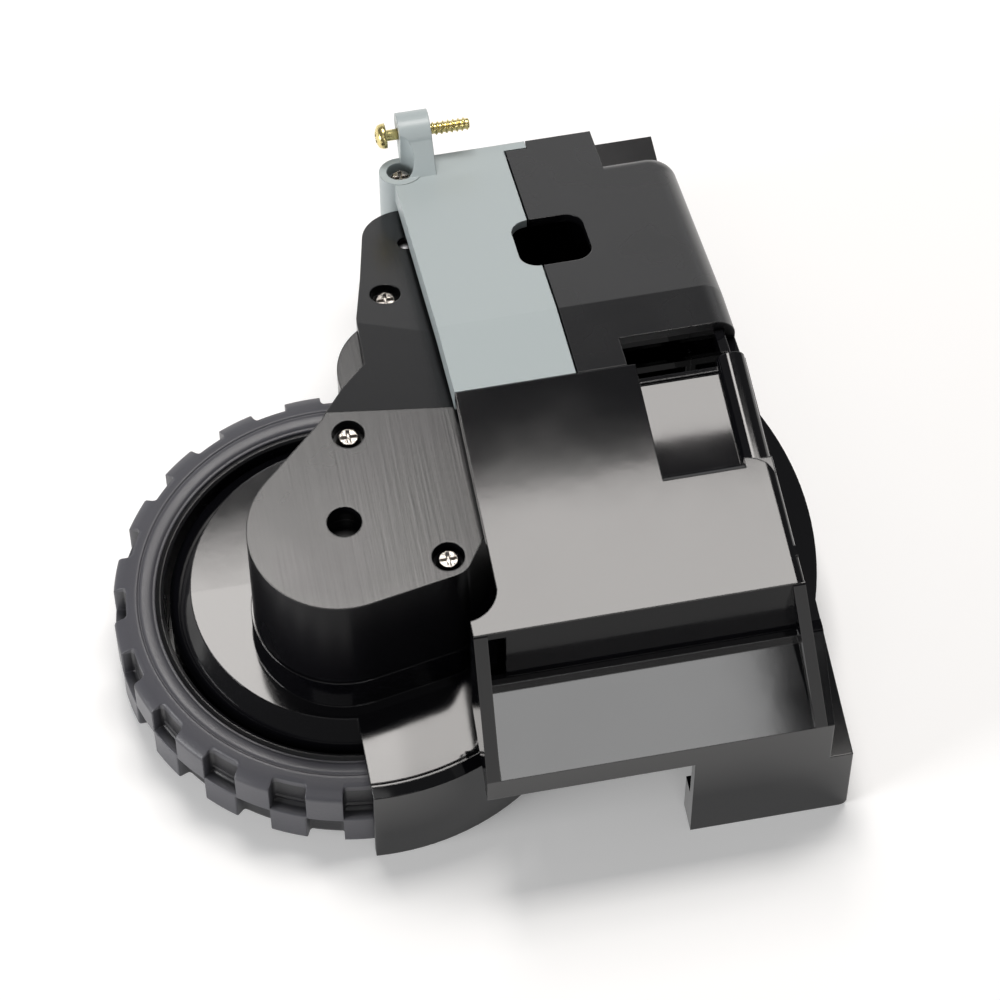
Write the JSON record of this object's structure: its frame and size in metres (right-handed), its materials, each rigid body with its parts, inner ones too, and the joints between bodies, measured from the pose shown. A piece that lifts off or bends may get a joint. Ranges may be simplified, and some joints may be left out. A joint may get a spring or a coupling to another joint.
{
  "type": "robot vacuum wheel module",
  "caption": "Left wheel module of a robot vacuum: lugged drive wheel on a sprung swing arm with motor and gear train, in a black frame with a grey and a black cover",
  "frame": {"origin": "centre of the module's box seen from above, at the plane of the outer side that it lies on", "axes": "X up in the robot, Y from the wheel end to the hinge end, Z from the outer side inwards, along the wheel axis"},
  "size_m": [0.1079, 0.1132, 0.0532],
  "materials": {
    "tyre_rubber": "moulded rubber, dull",
    "black_satin": "satin black plastic",
    "black_gloss": "polished black plastic",
    "grey_plastic": "satin light blue-grey plastic",
    "screw_steel": "nickel-plated screw steel",
    "machined_steel": "ground steel",
    "motor_steel": "plated sheet steel",
    "spring_steel": "spring wire",
    "acetal_gear": "natural acetal",
    "sintered_bronze": "sintered bronze",
    "brass": "turned brass",
    "yellow_zinc": "yellow zinc plating"
  },
  "bodies": {
    "frame": {"main_frame": "black_gloss", "grey_cover": "grey_plastic", "black_cover": "black_satin", "cover_screw": "screw_steel", "pivot_pin": "machined_steel", "pivot_ring": "machined_steel", "thrust_washer": "acetal_gear", "swing_spring": "spring_steel", "drop_switch": "black_satin", "switch_terminals": "brass", "connector_housing": "black_satin", "connector_pins": "brass"},
    "arm": {"gearbox_base": "black_gloss", "drum_plate": "black_satin", "drum_plate_screws": "screw_steel", "output_bushing": "sintered_bronze", "gear_pins": "machined_steel", "arm_cover": "black_satin", "motor_can": "motor_steel", "motor_cap": "black_satin", "motor_plate": "motor_steel", "motor_screw": "screw_steel", "lug_screw": "screw_steel", "arm_screw": "screw_steel", "pivot_bushes": "sintered_bronze"},
    "wheel": {"tyre": "tyre_rubber", "wheel_hub": "black_satin", "hub_cap": "black_satin", "wheel_screw": "screw_steel", "output_shaft": "machined_steel", "output_gear": "acetal_gear"},
    "gear_two": {"gear_two": "acetal_gear"},
    "gear_one": {"gear_one": "acetal_gear"},
    "motor_rotor": {"motor_pinion": "brass", "motor_shaft": "machined_steel"},
    "switch_lever": {"drop_lever": "spring_steel"},
    "captive_screw": {"captive_screw": "yellow_zinc"}
  },
  "joints": [
    {"name": "arm_swing", "type": "hinge", "parent": "frame", "child": "arm", "pos_m": [0.00035, 0.036, 0], "axis": [0, 0, 1], "range_deg": [0, 25], "stiffness_Nm_per_rad": 0.9, "springref_deg": -34.38, "deforming": ["swing_spring"]},
    {"name": "wheel_spin", "type": "hinge", "parent": "arm", "child": "wheel", "pos_m": [-0.01795, -0.0143, 0], "axis": [0, 0, 1], "continuous": true},
    {"name": "gear_two_spin", "type": "hinge", "parent": "arm", "child": "gear_two", "pos_m": [-0.0049, 0.00125, 0], "axis": [0, 0, 1], "continuous": true},
    {"name": "gear_one_spin", "type": "hinge", "parent": "arm", "child": "gear_one", "pos_m": [-0.01078, -0.01091, 0], "axis": [0, 0, 1], "continuous": true},
    {"name": "motor_spin", "type": "hinge", "parent": "arm", "child": "motor_rotor", "pos_m": [-0.01885, -0.0211, 0], "axis": [0, 0, 1], "continuous": true},
    {"name": "lever_swing", "type": "hinge", "parent": "frame", "child": "switch_lever", "pos_m": [0.02205, 0.0402, 0], "axis": [0, 0, 1], "range_deg": [-25, 0]},
    {"name": "captive_screw_slide", "type": "slide", "parent": "frame", "child": "captive_screw", "axis": [1, 0, 0], "range_m": [0, 0.0016]}
  ],
  "couplings": [
    {"joint": "gear_two_spin", "follows": "wheel_spin", "ratio": -3.8333},
    {"joint": "gear_one_spin", "follows": "wheel_spin", "ratio": 10.952},
    {"joint": "motor_spin", "follows": "wheel_spin", "ratio": -36.508},
    {"joint": "lever_swing", "follows": "arm_swing", "ratio": -1}
  ]
}
